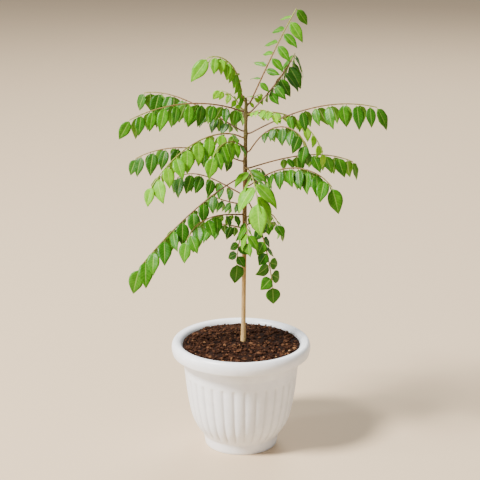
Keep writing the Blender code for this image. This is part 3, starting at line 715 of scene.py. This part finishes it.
def makeCrumbs():
    draw = random.Random(crumbs["seed"])
    kinds = [makeChip(draw) for _ in range(crumbs["kinds"])]
    shape = bmesh.new()
    reach = crumbs["reach"]
    for i in range(crumbs["count"]):
        angle = draw.uniform(0, 2 * math.pi)
        radius = reach * math.sqrt(draw.uniform(0.0, 1.0))
        size = draw.uniform(crumbs["shortest"], crumbs["longest"]) * draw.uniform(*crumbs["sizes"])
        radius = min(radius, reach - size * 0.75)
        x, y = radius * math.cos(angle), radius * math.sin(angle)
        away = math.hypot(x - trunkSize["footX"], y)
        if away < crumbs["trunkClear"] + size * 0.4:
            continue
        dome = crumbs["dome"] * (1 - (radius / reach) ** 2)
        heap = crumbs["heap"] * noise.noise(Vector((x * crumbs["heapScale"], y * crumbs["heapScale"], 3.1)))
        rise = draw.uniform(*crumbs["rises"])
        z = trunkSize["soil"] + dome + heap + rise * crumbs["lift"]
        turn = Matrix.Rotation(draw.uniform(0, 6.3), 4, "Z")
        turn = turn @ Matrix.Rotation(draw.uniform(-crumbs["tilt"], crumbs["tilt"]), 4, "X")
        wide, thick = draw.uniform(*crumbs["widths"]), draw.uniform(*crumbs["thicknesses"])
        stretch = Matrix.Diagonal((size, size * wide, size * thick, 1))
        chip = kinds[i % len(kinds)].copy()
        chip.transform(Matrix.Translation((x, y, z)) @ turn @ stretch)
        tone = draw.gauss(crumbs["tone"], crumbs["toneSpread"]) + crumbs["toneRise"] * rise  # lower chips darker as painted shade between the chips, raised ones lighter and drier on top
        tone = min(1.0, max(0.0, tone))
        chip.attributes["crumbTone"].data.foreach_set("value", [tone] * len(chip.vertices))
        shape.from_mesh(chip)
        bpy.data.meshes.remove(chip)
    addPiece("soil_crumbs", shape, [crumbMix], smoothAngle=crumbs["sharpAngle"])


makeCrumbs()
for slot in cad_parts["soil"].material_slots:
    slot.material = soilMix
print("soil spread")


# the trunk: a slightly wavering stem, swollen where each frond leaves it

stem = {
    "step": 2.5 * mm, "sides": 20, "wobble": 0.35 * mm, "wobbleScale": 14,
    "ripple": 0.035, "rippleScale": 60, "lump": 0.06, "lumpScale": 220,
    "node": 0.88 * mm, "nodeLength": 5 * mm, "nodeDrop": 1.5, "nodeAround": 0.25,
}


def makeTrunk():
    shape = bmesh.new()
    bottom = trunkSize["soil"] - trunkSize["buried"]
    count = round((trunkSize["top"] - bottom) / stem["step"])
    heights = [bottom + (trunkSize["top"] - bottom) * i / count for i in range(count + 1)]
    points = []
    for z in heights:
        along = z * stem["wobbleScale"]
        sway = Vector((noise.noise(Vector((7.3, 0.4, along))), noise.noise(Vector((0.4, 7.3, along))), 0))
        points.append(trunkPoint(z) + sway * stem["wobble"])
    radii = []
    for z in heights:
        ripple = stem["ripple"] * noise.noise(Vector((5, 1, z * stem["rippleScale"])))
        radii.append(readSmooth(trunkTable, z / mm) * mm * (1 + ripple))
    growStalk(shape, points, radii, stem["sides"])
    for vert in shape.verts:
        middle = trunkPoint(vert.co.z)
        out = (vert.co - middle).to_2d()
        if out.length < 0.1 * mm:
            continue
        grow = stem["lump"] * out.length * noise.noise(vert.co * stem["lumpScale"])
        for frond in fronds:
            heading = math.radians(frond["heading"])
            facing = max(0.0, out.normalized().dot(Vector((math.cos(heading), math.sin(heading)))))
            rise = (vert.co.z - (frond["height"] - stem["nodeDrop"]) * mm) / stem["nodeLength"]
            swell = stem["nodeAround"] + (1 - stem["nodeAround"]) * facing * facing
            grow += stem["node"] * swell * math.exp(-rise * rise)
        vert.co.xy += out.normalized() * grow
    bmesh.ops.recalc_face_normals(shape, faces=shape.faces)
    addPiece("trunk_stem", shape, [barkFinish], ["trunk"])


makeTrunk()
print("trunk grown")


# the fronds: a stalk with its thin, folded and wavy leaflets, each at the place and swing of its solid

# a blade is fold over its midrib, less curl at its edges, and wave high ripples run along them
blade = {
    "across": 6, "along": 12, "thick": 0.35 * mm, "fold": 0.26, "curl": 0.16, "wave": 0.55 * mm,
    "waves": (1.6, 2.6), "bends": (0.6, 1.5), "lean": 0.05, "fullness": 0.53, "foot": 0.3 * mm, "crowd": 0.9,
    "stalk": 0.075, "stalkReach": 1.6, "stalkRadius": 0.55 * mm, "stalkSides": 6,
    "tipCurl": 0.06, "tipStart": 0.72, "toneSpread": 0.1, "toneAlong": 0.10,
    "rootRound": 0.6, "tipTaper": 0.88, "peak": 0.368,
    "tipNarrow": 0.32, "narrowFrom": 0.6, "narrowBend": 0.8,
}
rachis = {
    "sunk": 1.6 * mm, "collar": 0.2 * mm, "sides": 8, "swell": 0.55, "swellReach": 5.5, "knee": 0.22,
    "kneeReach": 2, "youngFrom": 0.35, "youngGain": 1.1,
}
layerNames = ("leafAcross", "leafAlong", "leafTone", "stalkGreen")


def outline(share):
    # half width of an ovate blade with a drawn-out tip, 0 to 1, from its foot to its tip
    if share <= 0 or share >= 1:
        return 0.0
    body = share ** blade["rootRound"] * (1 - share) ** blade["tipTaper"] / blade["peak"]
    nearTip = max(0.0, (share - blade["narrowFrom"]) / (1 - blade["narrowFrom"]))
    return body * (1 - blade["tipNarrow"] * nearTip ** blade["narrowBend"])


def growLeaflet(frondShape, place, swing, tone, draw):
    # one blade with its short stalk, made lying along Z and then turned to its place
    length, width = place[3], place[4]
    leaf = bmesh.new()
    for name in layerNames:
        leaf.verts.layers.float.new(name)
    layers = {name: leaf.verts.layers.float[name] for name in layerNames}
    bmesh.ops.create_grid(leaf, x_segments=blade["across"], y_segments=blade["along"], size=1)
    fullTurn = 6.28
    phase = draw.uniform(0, fullTurn)
    waves = draw.uniform(*blade["waves"])
    bend = draw.uniform(*blade["bends"])
    lean = draw.uniform(-blade["lean"], blade["lean"])
    for vert in leaf.verts:
        side = vert.co.x
        share = ((vert.co.y + 1) / 2) ** blade["crowd"]
        along = blade["stalk"] + (1 - blade["stalk"]) * share
        half = max(blade["foot"] * (1 - share), outline(share) * width * blade["fullness"])
        x = side * half
        lift = abs(x) * (blade["fold"] - blade["curl"] * abs(side))
        shift = phase + (2 if side > 0 else 0)  # the two edges wave out of step
        ripple = blade["wave"] * side * side * math.sin(fullTurn * waves * share + shift)
        tipCurl = blade["tipCurl"] * max(0, (share - blade["tipStart"]) / (1 - blade["tipStart"])) ** 2
        bow = -length * (leafSize["arch"] * bend * along * along + tipCurl)
        vert.co = (x + lean * length * along * along, lift + ripple * outline(share) + bow, along * length)
        vert[layers["leafAcross"]] = side
        vert[layers["leafAlong"]] = share
    bmesh.ops.remove_doubles(leaf, verts=leaf.verts, dist=0.00002)
    bmesh.ops.recalc_face_normals(leaf, faces=leaf.faces)
    if sum(face.normal.y for face in leaf.faces) < 0:
        bmesh.ops.reverse_faces(leaf, faces=leaf.faces)
    bmesh.ops.solidify(leaf, geom=leaf.faces[:], thickness=blade["thick"])
    bmesh.ops.recalc_face_normals(leaf, faces=leaf.faces)
    for face in leaf.faces:
        face.material_index = 1 if face.normal.y < 0 else 0
        face.smooth = True
    for vert in leaf.verts:
        vert[layers["leafTone"]] = tone
    neck = length * blade["stalk"] * blade["stalkReach"]
    stalk = [Vector((0, 0, 0)), Vector((0, -0.1 * mm, neck * 0.5)), Vector((0, -0.25 * mm, neck))]
    radii = [blade["stalkRadius"] * part for part in (1.3, 1, 0.5)]
    known = set(leaf.faces)
    growStalk(leaf, stalk, radii, blade["stalkSides"], {"stalkGreen": [0.55 + 0.4 * tone] * 3})
    for face in leaf.faces:
        if face not in known:
            face.material_index = 2
    leaf.transform(leafMatrix(place, swing))
    mesh = bpy.data.meshes.new("leaflet")
    leaf.to_mesh(mesh)
    leaf.free()
    frondShape.from_mesh(mesh)
    bpy.data.meshes.remove(mesh)


def growRachis(shape, frond):
    # the frond's own stalk, with a swollen foot on the trunk and a slight knee at each leaflet
    line = frondLine(frond)
    heading = math.radians(frond["heading"])
    outward = Vector((math.cos(heading), math.sin(heading), 0))
    points = [line[0] - outward * rachis["sunk"], line[0] + outward * rachis["collar"]] + line[1::2]
    if len(line) % 2:
        points.append(line[-1])
    last = len(points) - 1
    knees = [frond["bare"] + (1 - frond["bare"]) * i / frond["count"] for i in range(frond["count"])]
    radii = []
    for i in range(last + 1):
        share = i / last
        radius = stalkRadius(frond, share)
        reach = share * frond["length"]
        radius *= 1 + rachis["swell"] * math.exp(-((reach / rachis["swellReach"]) ** 2))
        away = [(share - knee) * frond["length"] / rachis["kneeReach"] for knee in knees]
        radius *= 1 + rachis["knee"] * sum(math.exp(-(distance ** 2)) for distance in away)
        radii.append(radius)
    young = min(1.0, max(0.0, (frond["tone"] - rachis["youngFrom"]) * rachis["youngGain"]))
    green = [min(1.0, 0.08 + young * 0.75 + 0.45 * (i / last) ** 1.3) for i in range(last + 1)]
    growStalk(shape, points, radii, rachis["sides"], {"stalkGreen": green})


def makeFronds():
    chosen = chooseSwings()
    for frond in fronds:
        draw = random.Random(100 + frond["seed"])
        shape = bmesh.new()
        for name in layerNames:
            shape.verts.layers.float.new(name)
        growRachis(shape, frond)
        for face in shape.faces:
            face.material_index = 2
            face.smooth = True
        bmesh.ops.recalc_face_normals(shape, faces=shape.faces)
        for i, (place, swing) in enumerate(chosen[frond["name"]]):
            share = i / max(1, len(chosen[frond["name"]]) - 1)
            tone = frond["tone"] + draw.uniform(-blade["toneSpread"], blade["toneSpread"])
            tone += blade["toneAlong"] * (share - 0.5)
            growLeaflet(shape, place, swing, min(1.0, max(0.0, tone)), draw)
        finishes = [leafBlade, leafUnderside, stalkSkin]
        addPiece(frond["name"] + "_leaves", shape, finishes, [frond["name"]])


makeFronds()
print("fronds grown")


# the floor, the light and the camera

stage = {"floor": 14.0, "floorColour": "#cdb799", "worldColour": "#f3f1ee", "worldStrength": 0.38}


def makeStage():
    floor = bmesh.new()
    bmesh.ops.create_grid(floor, x_segments=1, y_segments=1, size=stage["floor"])
    ground = newObject("floor", floor)
    finish, _, shader = newMaterial("pale studio floor", 0.7)  # even matt paint
    shader.inputs["Base Color"].default_value = hexToLinear(stage["floorColour"])
    ground.data.materials.append(finish)
    world = bpy.data.worlds.new("studio")
    bpy.context.scene.world = world
    world.use_nodes = True
    sky = world.node_tree.nodes["Background"]
    sky.inputs["Color"].default_value = hexToLinear(stage["worldColour"])
    sky.inputs["Strength"].default_value = stage["worldStrength"]


lamps = [
    {"name": "key", "at": (-4.2, -2.4, 5.8), "size": 1.7, "watts": 1650, "colour": "#fffaf2"},
    {"name": "side", "at": (-3.0, -0.5, 0.9), "size": 0.5, "watts": 60, "colour": "#ffffff"},
    {"name": "fill", "at": (3.4, -3.2, 2.4), "size": 3.0, "watts": 40, "colour": "#f6f8ff"},
    {"name": "back", "at": (1.2, 4.4, 4.2), "size": 3.0, "watts": 240, "colour": "#fffdf6"},
]
lampTarget = (0, 0, 0.4)  # the middle of the plant


def makeLights():
    for lamp in lamps:
        data = bpy.data.lights.new(lamp["name"], "AREA")
        data.shape = "DISK"
        data.size = lamp["size"]
        data.energy = lamp["watts"]
        data.color = hexToLinear(lamp["colour"])[:3]
        light = bpy.data.objects.new(lamp["name"], data)
        bpy.context.scene.collection.objects.link(light)
        light.location = lamp["at"]
        light.rotation_euler = (Vector(lampTarget) - Vector(lamp["at"])).to_track_quat("-Z", "Y").to_euler()


# as the photograph was taken: level in roll, square to the plant and looking down on the rim
viewpoint = {"at": (-0.002, -2.351, 1.068), "down": 15.9, "lens": 100, "sensor": 36}


def makeCamera():
    data = bpy.data.cameras.new("camera")
    data.lens = viewpoint["lens"]
    data.sensor_width = viewpoint["sensor"]
    camera = bpy.data.objects.new("camera", data)
    bpy.context.scene.collection.objects.link(camera)
    camera.location = viewpoint["at"]
    camera.rotation_euler = (math.radians(90 - viewpoint["down"]), 0, 0)
    bpy.context.scene.camera = camera


makeStage()
makeLights()
makeCamera()
print("stage set")
